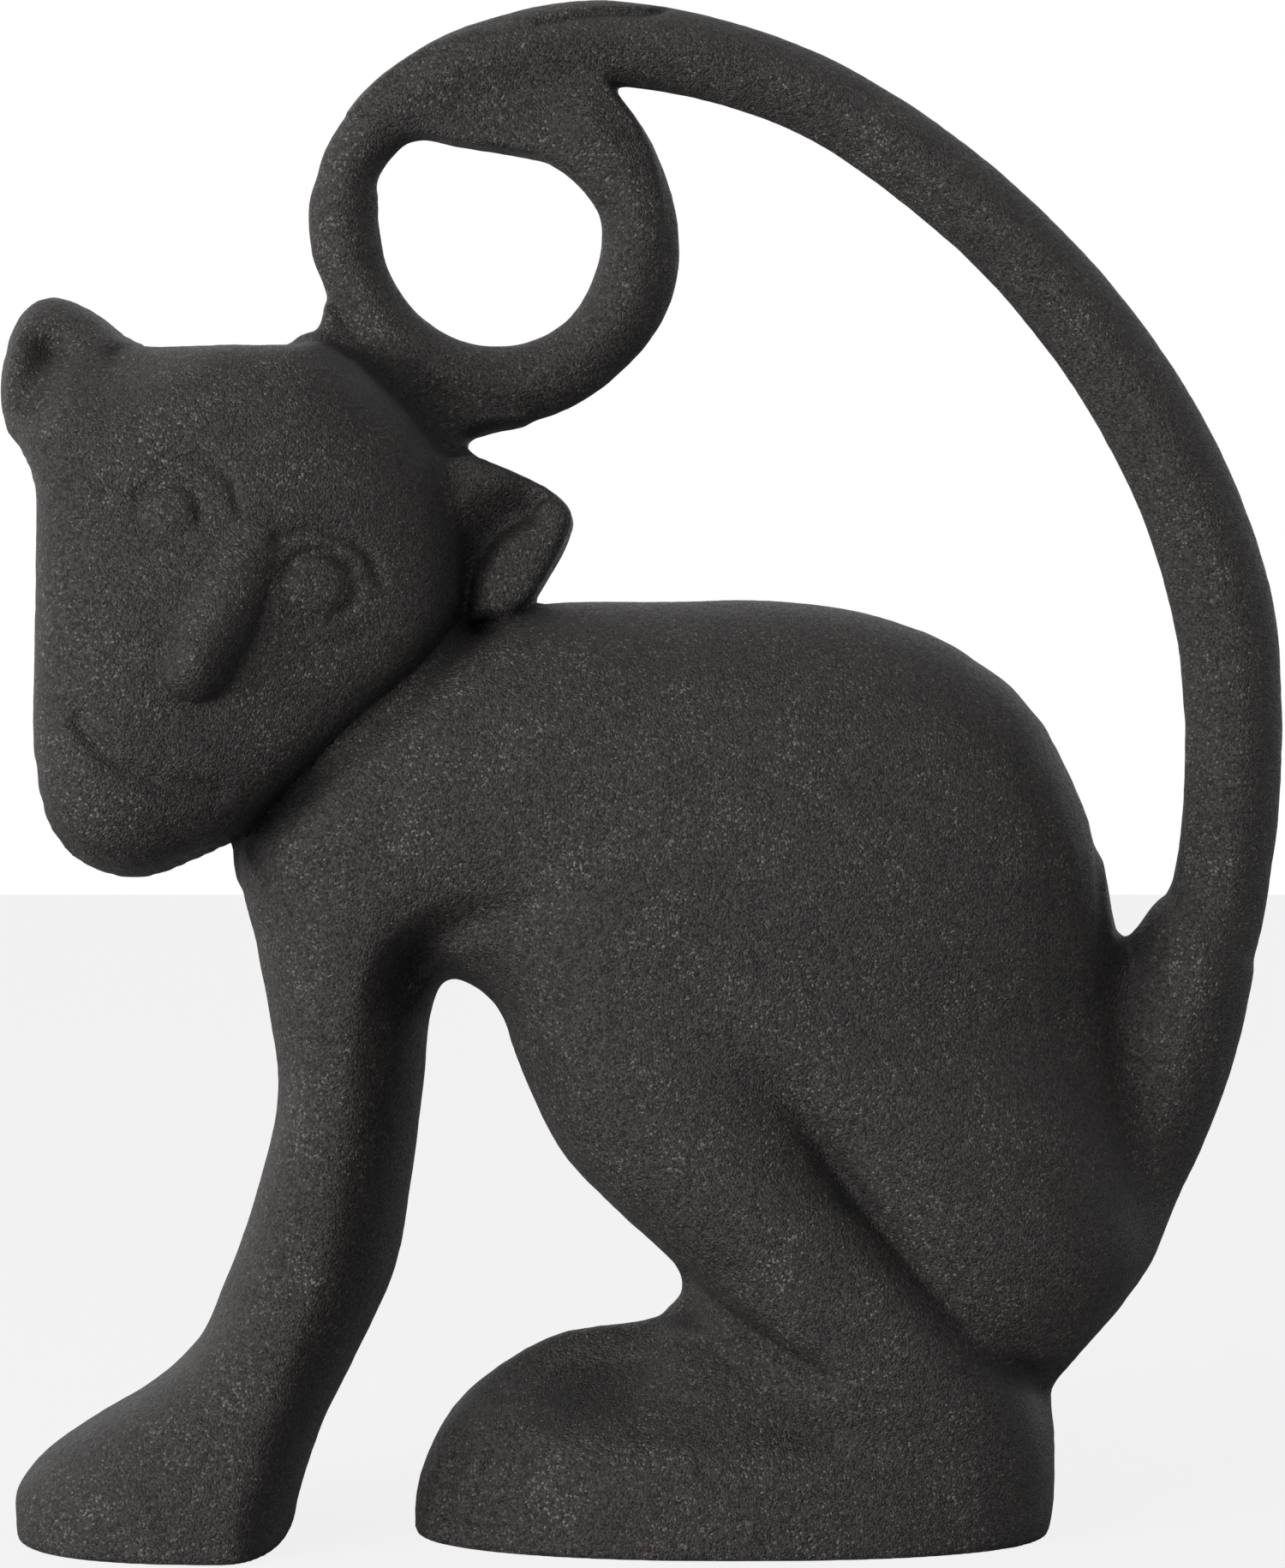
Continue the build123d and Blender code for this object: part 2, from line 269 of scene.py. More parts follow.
CORNERS = [(i, j, k) for i in (0, 1) for j in (0, 1) for k in (0, 1)]


def spot(px, py, toward):
    """Place in the frame of a spot of the photo that lies toward mm in front of the seam."""
    scale = PIXEL * (1 - toward / VIEW_DISTANCE)
    return (px - PHOTO_WIDTH / 2) * scale, VIEW_HEIGHT - (py - PHOTO_HEIGHT / 2) * scale


def spline(knots, values, at):
    """Smooth curve through values at knots, read at the places given."""
    knots = np.asarray(knots, float)
    values = np.asarray(values, float)
    slope = np.gradient(values, knots)
    at = np.clip(at, knots[0], knots[-1])
    i = np.clip(np.searchsorted(knots, at) - 1, 0, len(knots) - 2)
    h = knots[i + 1] - knots[i]
    t = (at - knots[i]) / h
    left = 1 - t
    ends = values[i] * left * left * (1 + 2 * t) + values[i + 1] * t * t * (3 - 2 * t)
    return ends + h * t * left * (slope[i] * left - slope[i + 1] * t)


def curve(pairs, at):
    """Smooth curve through pairs of place and value."""
    table = np.array(pairs, float)
    return spline(table[:, 0], table[:, 1], at)


def sections(stations, at):
    """The three measures of a row of stations, read at the places given."""
    table = np.array(stations)
    return [spline(table[:, 0], table[:, c], at) for c in (1, 2, 3)]


def path(points, count=60):
    """Smooth run of points through a few given ones."""
    points = np.asarray(points, float)
    knots = np.arange(len(points))
    at = np.linspace(0, len(points) - 1, count)
    return np.stack([spline(knots, points[:, c], at) for c in range(points.shape[1])], axis=1)


def line(spots):
    """Smooth run of places through spots of the photo."""
    return path([spot(*one) for one in spots])


def trace(gx, gz, run):
    """Distance to a run of points, share of the way along it, and the side."""
    best = np.full(gx.shape, 1e9)
    along = np.zeros(gx.shape)
    side = np.zeros(gx.shape)
    count = len(run) - 1
    for i in range(count):
        ax, az = run[i][:2]
        dx, dz = run[i + 1][:2] - run[i][:2]
        t = np.clip(((gx - ax) * dx + (gz - az) * dz) / (dx * dx + dz * dz), 0, 1)
        ex = gx - ax - t * dx
        ez = gz - az - t * dz
        d = np.hypot(ex, ez)
        near = d < best
        best = np.where(near, d, best)
        along = np.where(near, (i + t) / count, along)
        side = np.where(near, np.sign(dx * ez - dz * ex), side)
    return best, along, side


def closed(points, toward, count=160):
    """Smooth closed outline through spots of the photo."""
    ring = np.array([spot(px, py, toward) for px, py in points])
    knots = np.arange(-3, len(ring) + 4)
    at = np.linspace(0, len(ring), count + 1)
    return np.stack([spline(knots, ring[knots % len(ring), c], at) for c in range(2)], axis=1)


def inside_of(gx, gz, ring):
    """Distance from a closed outline, negative inside it."""
    distance, _, _ = trace(gx, gz, ring)
    inside = np.zeros(gx.shape, bool)
    for (x1, z1), (x2, z2) in zip(ring[:-1], ring[1:]):
        if z1 != z2:
            inside ^= ((z1 > gz) != (z2 > gz)) & (gx < (x2 - x1) * (gz - z1) / (z2 - z1) + x1)
    return np.where(inside, -distance, distance)


def dome(ring, pitch=0.7, margin=12.0, rounds=900, rim_slope=18):
    """Square of the height of a skin blown up over a closed outline, below zero outside it."""
    low = ring.min(axis=0) - margin
    high = ring.max(axis=0) + margin
    axes = [np.arange(low[c], high[c], pitch) for c in range(2)]
    gx, gz = np.meshgrid(*axes, indexing="ij")
    depth = -inside_of(gx, gz, ring)
    inner = depth > 0.5 * pitch
    square = np.where(inner, 2 * depth.max() * depth - depth * depth, rim_slope * depth)
    for _ in range(rounds):
        around = sum(np.roll(square, by, axis) for axis in (0, 1) for by in (1, -1))
        square = np.where(inner, around / 4 + pitch * pitch, square)
    return axes, pitch, square


def look_up(table, gx, gz):
    """Value of a flat table between its samples."""
    axes, pitch, value = table
    u = np.clip((gx - axes[0][0]) / pitch, 0, len(axes[0]) - 1.001)
    w = np.clip((gz - axes[1][0]) / pitch, 0, len(axes[1]) - 1.001)
    i = u.astype(int)
    k = w.astype(int)
    u = u - i
    w = w - k
    low = value[i, k] * (1 - u) + value[i + 1, k] * u
    high = value[i, k + 1] * (1 - u) + value[i + 1, k + 1] * u
    return low * (1 - w) + high * w


def step(low, high, value):
    """Smooth rise from 0 at low to 1 at high."""
    t = np.clip((value - low) / (high - low), 0, 1)
    return t * t * (3 - 2 * t)


def notch(distance, width):
    """Soft notch that is 1 at its middle."""
    return np.exp(-(distance / width) ** 2)


def join(a, b, k):
    """Union of two fields with a fillet of about k."""
    h = np.clip(0.5 + 0.5 * (b - a) / k, 0, 1)
    return b + (a - b) * h - k * h * (1 - h)


def keep(a, b, k):
    """Overlap of two fields with a rounded edge of about k."""
    return -join(-a, -b, k)


def rounded(u, v, a, b, power):
    """Distance from a rounded section with half sizes a and b, along the ray from its middle."""
    size = ((np.abs(u) / a) ** power + (np.abs(v) / b) ** power) ** (1 / power)
    size = np.maximum(size, 1e-3)
    reach = np.maximum(np.hypot(u, v), 1e-3)
    return reach - reach / size


def steepness(field, pitch):
    return np.sqrt(sum(g * g for g in np.gradient(field, pitch)))


def level(field, pitch):
    """A field divided by its own slope, so that it counts as a distance near its surface."""
    return field / np.clip(steepness(field, pitch), 0.6, 3.0)


class Space:
    """A block of sample points."""

    def __init__(self, low, high, pitch):
        self.axes = [np.arange(a, b + pitch, pitch) for a, b in zip(low, high)]
        self.pitch = pitch
        self.x = self.axes[0][:, None, None]
        self.y = self.axes[1][None, :, None]
        self.z = self.axes[2][None, None, :]
        self.gx, self.gz = np.meshgrid(self.axes[0], self.axes[2], indexing="ij")

    def spread(self, flat):
        """A flat table that holds at every depth."""
        return flat[:, None, :]


def limb(s, stations, depth, ridge, front_power, back_power):
    """Upright form of level sections, widest at the ridge's share of the way to the back."""
    front, back, share = sections(stations, s.axes[2])
    middle = front + (back - front) * ridge
    u = s.x - middle
    a = np.where(u < 0, middle - front, back - middle)
    power = np.where(u < 0, front_power, back_power)
    field = level(rounded(u, s.y, a, share * depth / 2, power), s.pitch)
    return keep(keep(field, stations[0][0] - s.z, 1.0), s.z - stations[-1][0], 3.0)


def barrel(s, stations, depth, power):
    """Lying form of upright sections."""
    low, high, share = (c[:, None, None] for c in sections(stations, s.axes[0]))
    field = rounded(s.z - (low + high) / 2, s.y, (high - low) / 2, share * depth / 2, power)
    field = level(field, s.pitch)
    return keep(keep(field, stations[0][0] - s.x, 2.0), s.x - stations[-1][0], 2.0)


def groove(s, spots, width, depth, fade=0.0):
    """Soft groove along a line on the figure's side, which may fade in from its start."""
    distance, along, _ = trace(s.gx, s.gz, line(spots))
    amount = depth * notch(distance, width)
    if fade:
        amount = amount * step(0, fade, along)
    return amount


def body_marks(s):
    """Creases and marks of the body, as depths below its side."""
    relief = np.zeros(s.gx.shape)
    distance, along, side = trace(s.gx, s.gz, line(HAUNCH_CREASE))
    across = np.where(side < 0, notch(distance, 2.4), notch(distance, 1.4))
    relief += 0.9 * step(0.0, 0.3, along) * across

    distance, along, _ = trace(s.gx, s.gz, line(SHIN_CREASE))
    fade = step(0.0, 0.4, along) * (1 - 0.6 * step(0.55, 1.0, along))
    relief += 1.8 * fade * notch(distance, 1.4)

    distance, along, side = trace(s.gx, s.gz, line(ARMPIT_FOLD))
    below = np.where(side < 0, distance, -distance)
    fold = step(-2.4, 1.6, below) * (1 - step(1.8, 5.2, below))
    relief += 1.6 * fold * step(0.0, 0.25, along) * (1 - step(0.6, 1.0, along))

    for top, base in TOES:
        toe = [(top, 1672, 17), ((top + base) / 2 - 4, 1725, 18), (base, 1782, 18)]
        relief += groove(s, toe, width=1.3, depth=1.4, fade=0.4)
    relief += groove(s, THROAT_CREASE, width=0.9, depth=0.6)
    return relief


def body_field(s):
    z = s.axes[2]
    ridge = curve(FORELEG_RIDGE, z)
    foreleg = limb(s, FORELEG, FORELEG_DEPTH, ridge, 2.4, 2.6 - 0.85 * step(8.0, 26.0, z))
    torso = barrel(s, TORSO, TORSO_DEPTH, 2.4)
    high = step(48.0, 64.0, z)
    rump = limb(s, RUMP, RUMP_DEPTH, 0.42 - 0.2 * high, 2.5, 2.2 - 0.3 * high)
    leg = limb(s, LEG, LEG_DEPTH, 0.42, 2.3, 2.9 - 0.7 * step(30.0, 48.0, z))
    foot = limb(s, FOOT, FOOT_DEPTH, 0.5, 2.15, 2.3)
    away = [(c - m) / size for c, m, size in zip((s.x, s.y, s.z), INSTEP, INSTEP_SIZE)]
    instep = INSTEP_SIZE[2] * (np.sqrt(sum(a ** 2 for a in away)) - 1)

    # The leg melts into the torso, and the front of the foot into the shin.
    thigh_fillet = 2.0 + 8.0 * step(48.0, 74.0, s.z)
    ankle_fillet = 2.0 + 6.0 * step(14.0, 20.0, s.z) * (1 - step(30.0, 44.0, s.x))
    shoulder_fillet = 2.4 + 4.0 * step(68.0, 84.0, s.z)
    field = join(torso, rump, 5.0)
    field = join(field, leg, thigh_fillet)
    field = join(field, foot, ankle_fillet)
    field = join(field, instep, 4.0)
    field = join(field, foreleg, shoulder_fillet)
    return field + s.spread(body_marks(s)) * step(3.0, 6.0, np.abs(s.y))


def face_axes(s):
    """Way to the right and way down on the tilted face."""
    du = s.gx - EYE_LINE[0]
    dw = s.gz - EYE_LINE[1]
    right = du * cos(FACE_TILT) - dw * sin(FACE_TILT)
    down = -du * sin(FACE_TILT) - dw * cos(FACE_TILT)
    return right, down


def flap(s, ring, near, far, edge):
    """Flat form with a rounded edge between two depths, the near one from a flat table."""
    outline = s.spread(inside_of(s.gx, s.gz, ring))
    return keep(outline, np.maximum(s.spread(near) - s.y, s.y - far), edge)


def face_marks(s):
    """Ear hollows, nose, eyes and mouth, as depths below the head's near side."""
    relief = groove(s, LEFT_EAR_HOLLOW, width=2.6, depth=3.0)
    relief += groove(s, LEFT_EAR_DIMPLE, width=1.0, depth=0.7)

    # The nose drops steeply to the right and softly to the left, except at its tip.
    crest, way, side = trace(s.gx, s.gz, line(NOSE))
    width = curve(NOSE_WIDTH, way)
    tip = step(0.6, 0.95, way)
    steep = np.maximum(1 - (crest / width) ** 2, 0) ** 0.6
    soft = np.maximum(1 - (crest / (width + 1.2 - tip)) ** 2, 0) ** (1.3 - 0.6 * tip)
    relief -= curve(NOSE_RISE, way) * np.where(side > 0, steep, soft)

    for centre, radius, raised, edge in EYES:
        x, z = spot(*centre, FACE_TOWARD)
        reach = np.hypot(s.gx - x, s.gz - z)
        relief -= raised * (1 - step(radius - edge, radius + 0.2, reach))
        relief += 0.5 * raised * notch(reach - radius - EYE_RIM, EYE_RIM)
    for width, depth, spots in FACE_LINES:
        relief += groove(s, [(*one, FACE_TOWARD) for one in spots], width, depth)
    distance, along, _ = trace(s.gx, s.gz, line(MOUTH))
    relief += (1.25 - 0.5 * along) * notch(distance, MOUTH_WIDTH)
    return relief


HEAD_DOME = dome(closed(HEAD_OUTLINE, HEAD_TOWARD))


def head_field(s):
    right, down = face_axes(s)
    square = look_up(HEAD_DOME, s.gx, s.gz)
    height = np.sqrt(np.maximum(square, 0))
    v = s.y + s.spread(curve(HEAD_SHEET, down))
    outward = step(14.0, 26.0, -right - 0.2 * down)
    ear = outward * step(2.0, 14.0, -down)
    ear_back = outward * step(-6.0, 6.0, -down)

    def skin(top):
        """Square of the skin's height where it flattens out towards top."""
        top = top * (1 - np.exp(-height / (9.0 + 5.0 * step(-6.0, 22.0, right))))
        return s.spread(np.where(square > 0, top * top, square))

    near = skin(HEAD_NEAR - CHEEK_LOSS * step(-2.0, 26.0, right) - EAR_LOSS * ear)
    far = skin(HEAD_FAR - EAR_BACK_LOSS * ear_back)
    field = v * v - np.where(v < 0, near, far)
    field = field / np.maximum(steepness(field, s.pitch), 10.0)

    # The right ear is a flap with a valley that rises sharply to the rim.
    distance, _, side = trace(s.gx, s.gz, line(RIGHT_EAR_VALLEY))
    rise = np.where(side > 0, 3.4 * step(0.0, 2.4, distance), 4.2 * step(0.0, 6.0, distance))
    right_ear = flap(s, closed(RIGHT_EAR, RIGHT_EAR_TOWARD), -9.5 - rise, 2.0, 2.4)
    field = join(field, right_ear, 2.6)
    return field + s.spread(face_marks(s)) * step(8.0, 12.0, -s.y)


def bar(s, run):
    """Bar of changing width along a line in the seam plane."""
    distance, along, _ = trace(s.gx, s.gz, run)
    half = s.spread(np.interp(along, np.linspace(0, 1, len(run)), run[:, 2]))
    return rounded(s.spread(distance), s.y, half, half * BAR_FLATNESS, BAR_POWER)


def tail_field(s):
    arch = bar(s, path(TAIL, 260))
    table = np.array(RING)
    turn = np.linspace(table[0, 0], table[-1, 0], 120)
    radius = spline(table[:, 0], table[:, 1], turn)
    ring = np.stack([
        LOOP[0] + radius * np.cos(np.radians(turn)),
        LOOP[1] + radius * np.sin(np.radians(turn)),
        spline(table[:, 0], table[:, 2], turn),
    ], axis=1)
    field = join(arch, bar(s, ring), 1.5)

    distance, _, side = trace(s.gx, s.gz, line(LIP))
    edge = np.where(side > 0, -distance, distance)
    middle = np.hypot(s.gx - LOOP[0], s.gz - LOOP[1] - WEB_LIFT)
    inside = np.maximum(edge, middle - WEB_RADIUS)
    field = join(field, keep(s.spread(inside), np.abs(s.y) - WEB_HALF, 1.2), 2.2)

    near = np.full(s.gx.shape, -LOOP_FOOT_HALF)
    loop_foot = flap(s, closed(LOOP_FOOT, LOOP_FOOT_TOWARD), near, LOOP_FOOT_HALF, 3.0)
    field = join(field, loop_foot, 2.0)
    return field + s.spread(groove(s, SLIT, width=0.5, depth=0.9)) * step(0.5, 1.5, -s.y)


def fields(s):
    """Field of each casting, and of the whole figure with the fillets between them."""
    body = body_field(s)
    head = head_field(s)
    tail = tail_field(s)
    root_fillet = 3.0 + 4.0 * (1 - step(64.0, 84.0, s.z))
    whole = join(join(body, head, 1.0), join(tail, body, root_fillet), 0.6)
    whole = np.minimum(whole, join(head, tail, 5.0))
    jaw = groove(s, JAW_CREASE, width=2.3, depth=2.0, fade=0.3)
    whole = whole + s.spread(jaw) * step(3.0, 6.0, -s.y)
    return body, head, tail, keep(whole, -s.z, 0.9)


def own_share(own, *others):
    """Cut that leaves the other pieces their shares of the figure."""
    limit = others[0]
    for other in others[1:]:
        limit = np.minimum(limit, other)
    return 0.5 * (own - limit) - OVERLAP / 2


def net(field, s):
    """Mesh of the field's zero surface, with a point in each cell that it crosses."""
    inside = field < 0
    shape = np.array(field.shape)
    count = np.zeros(shape - 1, np.int8)
    for i, j, k in CORNERS:
        count += inside[i:shape[0] - 1 + i, j:shape[1] - 1 + j, k:shape[2] - 1 + k]
    cells = np.argwhere((count > 0) & (count < 8))
    number = np.full(shape - 1, -1, np.int32)
    number[tuple(cells.T)] = np.arange(len(cells))

    total = np.zeros((len(cells), 3))
    hits = np.zeros(len(cells))
    for one in CORNERS:
        for axis in range(3):
            if one[axis]:
                continue
            two = list(one)
            two[axis] = 1
            a = field[tuple((cells + one).T)]
            b = field[tuple((cells + two).T)]
            cross = (a < 0) != (b < 0)
            t = np.where(cross, a / np.where(cross, a - b, 1), 0)
            place = np.array(one, float) + 0 * cells
            place[:, axis] = t
            total += place * cross[:, None]
            hits += cross
    points = (cells + total / hits[:, None]) * s.pitch + [a[0] for a in s.axes]

    quads = []
    unit = np.eye(3, dtype=int)
    for axis in range(3):
        cut = [slice(1, -1)] * 3
        cut[axis] = slice(0, -1)
        ahead = list(cut)
        ahead[axis] = slice(1, None)
        first = inside[tuple(cut)]
        edge = np.argwhere(first != inside[tuple(ahead)])
        leaving = first[tuple(edge.T)]
        base = edge + 1 - unit[axis]
        b, c = [unit[d] for d in range(3) if d != axis]
        ring = [base - b - c, base - c, base, base - b]
        face = np.stack([number[tuple(r.T)] for r in ring], axis=1)
        flip = leaving if axis != 1 else ~leaving
        quads.append(np.where(flip[:, None], face, face[:, ::-1]))
    return points, np.concatenate(quads)


def weights(t):
    """Each corner of a cell, with its weight at places t within the cell."""
    for corner in CORNERS:
        near = np.abs(1 - np.array(corner) - t)
        yield corner, near[:, 0] * near[:, 1] * near[:, 2]


def read(field, points, s):
    """Field value between the samples."""
    q = (points - [a[0] for a in s.axes]) / s.pitch
    i = np.clip(np.floor(q).astype(int), 0, np.array(field.shape) - 2)
    value = 0
    for (di, dj, dk), weight in weights(q - i):
        value = value + weight * field[i[:, 0] + di, i[:, 1] + dj, i[:, 2] + dk]
    return value


def settle(points, whole, cut, s, rounds=6, edge_reach=0.7, least_room=0.06):
    """Moves the points onto the surface, and those at a joint onto its edge.

    Gives the points, their normals, and which of them lie on the figure's skin.
    """
    slopes = np.gradient(whole, s.pitch)
    cut_slopes = np.gradient(cut, s.pitch)
    for turn in range(rounds):
        a = read(whole, points, s)
        b = read(cut, points, s)
        na = np.stack([read(g, points, s) for g in slopes], axis=1)
        nb = np.stack([read(g, points, s) for g in cut_slopes], axis=1)
        aa = np.maximum((na * na).sum(axis=1), 0.1)
        bb = np.maximum((nb * nb).sum(axis=1), 0.1)
        ab = (na * nb).sum(axis=1)
        if turn == 0:
            near_a = a > -edge_reach * s.pitch * np.sqrt(aa)
            near_b = b > -edge_reach * s.pitch * np.sqrt(bb)
            edge = near_a & near_b
            skin = a >= b
        room = np.maximum(aa * bb - ab * ab, least_room * aa * bb)
        pa = np.where(edge, (a * bb - b * ab) / room, np.where(skin, a / aa, 0))
        pb = np.where(edge, (b * aa - a * ab) / room, np.where(skin, 0, b / bb))
        move = na * pa[:, None] + nb * pb[:, None]
        length = np.linalg.norm(move, axis=1)
        move = move * np.minimum(1, 0.5 * s.pitch / np.maximum(length, 1e-9))[:, None]
        points = points - move
    return points, na / np.sqrt(aa)[:, None], skin | edge


def grain(points, size, seed):
    """Smooth seeded noise of about the given grain size, from -1 to 1."""
    q = points / size
    i = np.floor(q).astype(np.int64)
    t = q - i
    value = 0
    for (di, dj, dk), weight in weights(t * t * (3 - 2 * t)):
        key = (i[:, 0] + di) * 73856093 ^ (i[:, 1] + dj) * 19349663 ^ (i[:, 2] + dk) * 83492791
        key = (key ^ seed * 2654435761) & 0x7FFFFFFF
        key = (key * 1103515245 + 12345) & 0x7FFFFFFF
        key = ((key >> 8) ^ key) * 69069 & 0x7FFFFFFF
        value = value + weight * (key / 0x3FFFFFFF - 1)
    return value


def painted_shade(points, normal, whole, s):
    """Painted shade on each point, from 0 to 1: darker where the figure closes in on it, and on the
    up-facing tops of the feet.
    """
    # Painted shade where the figure closes in, from how near the skin lies at three reaches out
    # along the normal.
    total = 0
    reaches = (3.0, 6.0, 12.0)
    for reach in reaches:
        away = points + normal * reach
        held = np.clip(away, [a[0] for a in s.axes], [a[-1] for a in s.axes])
        room = read(whole, held, s) + np.linalg.norm(away - held, axis=1)
        total = total + 1 - np.clip(room / reach, 0, 1)
    # Painted shade: the up-facing surfaces of the feet are darkened, in patches.
    foot_shade_paint = 0.62 + 0.2 * grain(points, FOOT_SHADE_SIZE, FOOT_SHADE_SEED)
    faces_up = step(0.5, 0.9, normal[:, 2])
    on_feet = 1 - step(26.0, 36.0, points[:, 2])
    return np.maximum(total / len(reaches), foot_shade_paint * faces_up * on_feet)


def add_node(tree, kind, **inputs):
    """New node with some of its inputs set by name."""
    made = tree.nodes.new(kind)
    for key, value in inputs.items():
        made.inputs[key.replace("_", " ")].default_value = value
    return made


def maths(tree, operation, *inputs):
    """Output of a new math node, whose inputs are numbers or other outputs."""
    made = tree.nodes.new("ShaderNodeMath")
    made.operation = operation
    for socket, value in zip(made.inputs, inputs):
        if isinstance(value, bpy.types.NodeSocket):
            tree.links.new(value, socket)
        else:
            socket.default_value = value
    return made.outputs[0]


def map_range(tree, value, **limits):
    made = add_node(tree, "ShaderNodeMapRange", **limits)
    tree.links.new(value, made.inputs["Value"])
    return made.outputs["Result"]


def colour_ramp(tree, value, *stops):
    """Colour between stops of position and colour."""
    made = tree.nodes.new("ShaderNodeValToRGB")
    elements = made.color_ramp.elements
    for i, (position, colour) in enumerate(stops):
        element = elements[i] if i < len(elements) else elements.new(position)
        element.position = position
        element.color = (*colour, 1)
    tree.links.new(value, made.inputs["Fac"])
    return made.outputs["Color"]


def new_material(name):
    material = bpy.data.materials.new(name)
    material.use_nodes = True
    tree = material.node_tree
    return material, tree, tree.nodes["Principled BSDF"]


def cast_iron():
    """Near-black iron with sand grains and bright specks, and painted shade that darkens recesses
    and the tops of the feet.
    """
    material, tree, shader = new_material("cast_iron")
    link = tree.links.new
    shader.inputs["Specular IOR Level"].default_value = 0.25
    place = tree.nodes.new("ShaderNodeTexCoord")
    sand = add_node(tree, "ShaderNodeTexVoronoi", Scale=3900.0)
    fine = add_node(tree, "ShaderNodeTexNoise", Scale=6600.0, Detail=2.0, Roughness=0.6)
    patch = add_node(tree, "ShaderNodeTexNoise", Scale=130.0, Detail=4.0, Roughness=0.6)
    for texture in (sand, fine, patch):
        link(place.outputs["Object"], texture.inputs["Vector"])
    split = tree.nodes.new("ShaderNodeSeparateColor")
    link(sand.outputs["Color"], split.inputs["Color"])

    height = maths(tree, "MULTIPLY_ADD", sand.outputs["Distance"], -1.0, fine.outputs["Fac"])
    bump = add_node(tree, "ShaderNodeBump", Strength=1.0, Distance=0.00016)
    link(height, bump.inputs["Height"])
    link(bump.outputs["Normal"], shader.inputs["Normal"])

    tone = maths(tree, "MULTIPLY_ADD", fine.outputs["Fac"], 0.5, split.outputs["Red"])
    tone = maths(tree, "MULTIPLY_ADD", patch.outputs["Fac"], 0.4, tone)
    tone = maths(tree, "DIVIDE", tone, 1.55)
    colour = colour_ramp(
        tree, tone,
        (0.3, (0.0075, 0.0068, 0.0066)),
        (0.9, (0.05, 0.045, 0.0432)),
        (0.98, (0.2, 0.174, 0.156)),
    )
    # Painted shade: the colour is dimmed to half where the figure closes in and on the tops of the
    # feet.
    shade_attribute = tree.nodes.new("ShaderNodeAttribute")
    shade_attribute.attribute_name = "painted_shade"
    painted_shade_dim = map_range(
        tree, shade_attribute.outputs["Fac"], From_Min=0.2, From_Max=0.8, To_Min=1.0, To_Max=0.5)
    dim = tree.nodes.new("ShaderNodeVectorMath")
    dim.operation = "SCALE"
    link(colour, dim.inputs["Vector"])
    link(painted_shade_dim, dim.inputs["Scale"])
    link(dim.outputs["Vector"], shader.inputs["Base Color"])
    gloss = map_range(tree, split.outputs["Green"], To_Min=0.4, To_Max=0.65)
    link(gloss, shader.inputs["Roughness"])
    return material


def black_steel():
    """Dark screw steel with uneven wear."""
    material, tree, shader = new_material("black_steel")
    shader.inputs["Metallic"].default_value = 0.7
    place = tree.nodes.new("ShaderNodeTexCoord")
    wear = add_node(tree, "ShaderNodeTexNoise", Scale=900.0, Detail=4.0, Roughness=0.6)
    tree.links.new(place.outputs["Object"], wear.inputs["Vector"])
    worn = wear.outputs["Fac"]
    colour = colour_ramp(tree, worn, (0.35, (0.03, 0.029, 0.028)), (0.75, (0.1, 0.096, 0.09)))
    tree.links.new(colour, shader.inputs["Base Color"])
    gloss = map_range(tree, worn, To_Min=0.35, To_Max=0.6)
    tree.links.new(gloss, shader.inputs["Roughness"])
    return material


def cast(name, node, whole, cut, s):
    """Mesh piece, roughened as sand leaves it, in place of a CAD node."""
    points, quads = net(np.maximum(whole, cut), s)
    points, normal, skin = settle(points, whole, cut, s)
    # Painted shade is worked out for each point and kept on the mesh, where the material darkens the
    # colour with it.
    shade_paint = painted_shade(points, normal, whole, s)
    rough = sum(height * grain(points, size, seed) for height, size, seed in ROUGHNESS)
    rough = np.where(skin, rough, 0) * step(0.2, 1.0, points[:, 2])
    points = points + normal * rough[:, None]
    points[:, 1] += SEAM

    mesh = bpy.data.meshes.new(name)
    mesh.vertices.add(len(points))
    mesh.vertices.foreach_set("co", (points * METRE).astype(np.float32).ravel())
    mesh.loops.add(quads.size)
    mesh.loops.foreach_set("vertex_index", quads.astype(np.int32).ravel())
    mesh.polygons.add(len(quads))
    mesh.polygons.foreach_set("loop_start", np.arange(0, quads.size, 4, dtype=np.int32))
    mesh.polygons.foreach_set("use_smooth", np.ones(len(quads), bool))
    mesh.update(calc_edges=True)
    mesh.validate()
    mesh.set_sharp_from_angle(angle=radians(50))
    painted_shade_layer = mesh.attributes.new("painted_shade", "FLOAT", "POINT")
    painted_shade_layer.data.foreach_set("value", shade_paint.astype(np.float32))

    piece = bpy.data.objects.new(name, mesh)
    bpy.context.scene.collection.objects.link(piece)
    piece.data.materials.append(IRON)
    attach(piece, "root")
    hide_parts(node)


IRON = cast_iron()
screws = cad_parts["body_screws"]
screws.data.materials.clear()
screws.data.materials.append(black_steel())

s = Space((-80, -27, -2.4), (67, 27, 117), BODY_PITCH)
body, head, tail, whole = fields(s)
cut = own_share(body, head, tail)
cast("body_left_half_cast", "body_left_half", whole, np.maximum(cut, s.y - OVERLAP / 2), s)
cast("body_right_half_cast", "body_right_half", whole, np.maximum(cut, -s.y - OVERLAP / 2), s)

s = Space((-82, -42, 76), (-2, 22, 154), HEAD_PITCH)
body, head, tail, whole = fields(s)
cast("head_cast", "head", whole, own_share(head, body, tail), s)

s = Space((-46, -13, 27), (82, 13, 191), TAIL_PITCH)
body, head, tail, whole = fields(s)
cast("tail_cast", "tail", whole, own_share(tail, body, head), s)


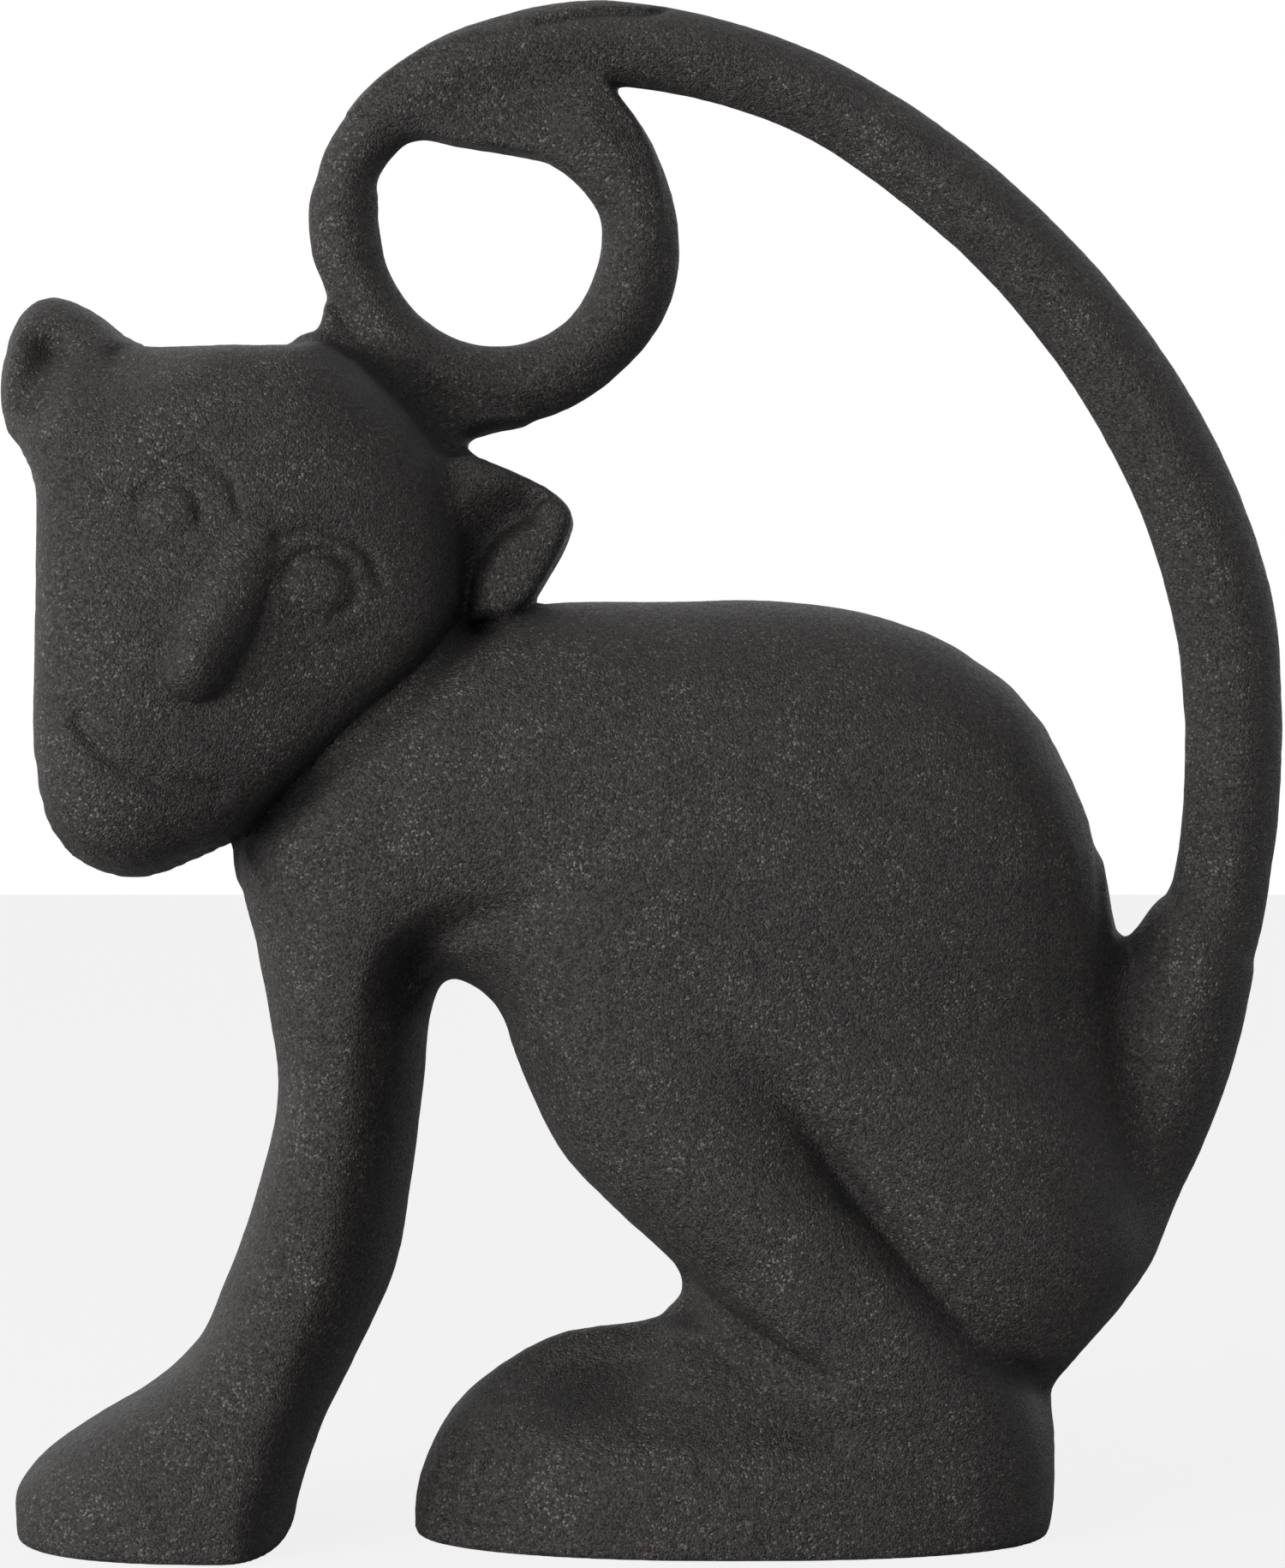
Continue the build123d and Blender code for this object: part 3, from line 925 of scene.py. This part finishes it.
# Studio, in metres: pale floor, white surroundings, and one wide, low softbox at the left front.
def white_world():
    """Surroundings that look white but light the figure only a little."""
    world = bpy.data.worlds.new("studio")
    world.use_nodes = True
    tree = world.node_tree
    back = tree.nodes["Background"]
    back.inputs["Color"].default_value = (1, 1, 1, 1)
    rays = tree.nodes.new("ShaderNodeLightPath").outputs
    seen = maths(tree, "MAXIMUM", rays["Is Camera Ray"], rays["Is Glossy Ray"])
    seen = maths(tree, "MAXIMUM", seen, rays["Is Transmission Ray"])
    strength = map_range(tree, seen, To_Min=0.12, To_Max=1.0)
    tree.links.new(strength, back.inputs["Strength"])
    return world


def paper():
    """Pale floor that the camera sees as nearly white, with the figure's faint shadow."""
    material, tree, shader = new_material("paper")
    shader.inputs["Base Color"].default_value = (0.9, 0.9, 0.9, 1)
    shader.inputs["Roughness"].default_value = 0.9
    glow = tree.nodes.new("ShaderNodeEmission")
    blend = tree.nodes.new("ShaderNodeMixShader")
    rays = tree.nodes.new("ShaderNodeLightPath").outputs
    tree.links.new(maths(tree, "MULTIPLY", rays["Is Camera Ray"], 0.85), blend.inputs["Fac"])
    tree.links.new(shader.outputs["BSDF"], blend.inputs[1])
    tree.links.new(glow.outputs["Emission"], blend.inputs[2])
    tree.links.new(blend.outputs["Shader"], tree.nodes["Material Output"].inputs["Surface"])
    return material


def softbox(name, place, aim, width, height, watts):
    light = bpy.data.lights.new(name, "AREA")
    light.shape = "RECTANGLE"
    light.size = width
    light.size_y = height
    light.energy = watts
    lamp = bpy.data.objects.new(name, light)
    lamp.location = place
    lamp.rotation_euler = (Vector(aim) - Vector(place)).to_track_quat("-Z", "Y").to_euler()
    scene.collection.objects.link(lamp)


scene = bpy.context.scene
scene.view_settings.view_transform = "Standard"
scene.world = white_world()
bpy.ops.mesh.primitive_plane_add(size=6.0, location=(0, 0, 0))
floor = bpy.context.object
floor.name = "floor"
floor.data.materials.append(paper())
softbox("key", (-0.78, -0.8, 0.14), aim=(0, 0, 0.09), width=0.8, height=0.24, watts=15.5)

view = bpy.data.cameras.new("view")
camera = bpy.data.objects.new("view", view)
camera.location = (0, (SEAM - VIEW_DISTANCE) * METRE, VIEW_HEIGHT * METRE)
camera.rotation_euler = (radians(90), 0, 0)
# The sensor's long side spans the photo's height.
view.sensor_width = 36.0
view.lens = view.sensor_width * VIEW_DISTANCE / (PHOTO_HEIGHT * PIXEL)
view.clip_start = 0.01
scene.collection.objects.link(camera)
scene.camera = camera
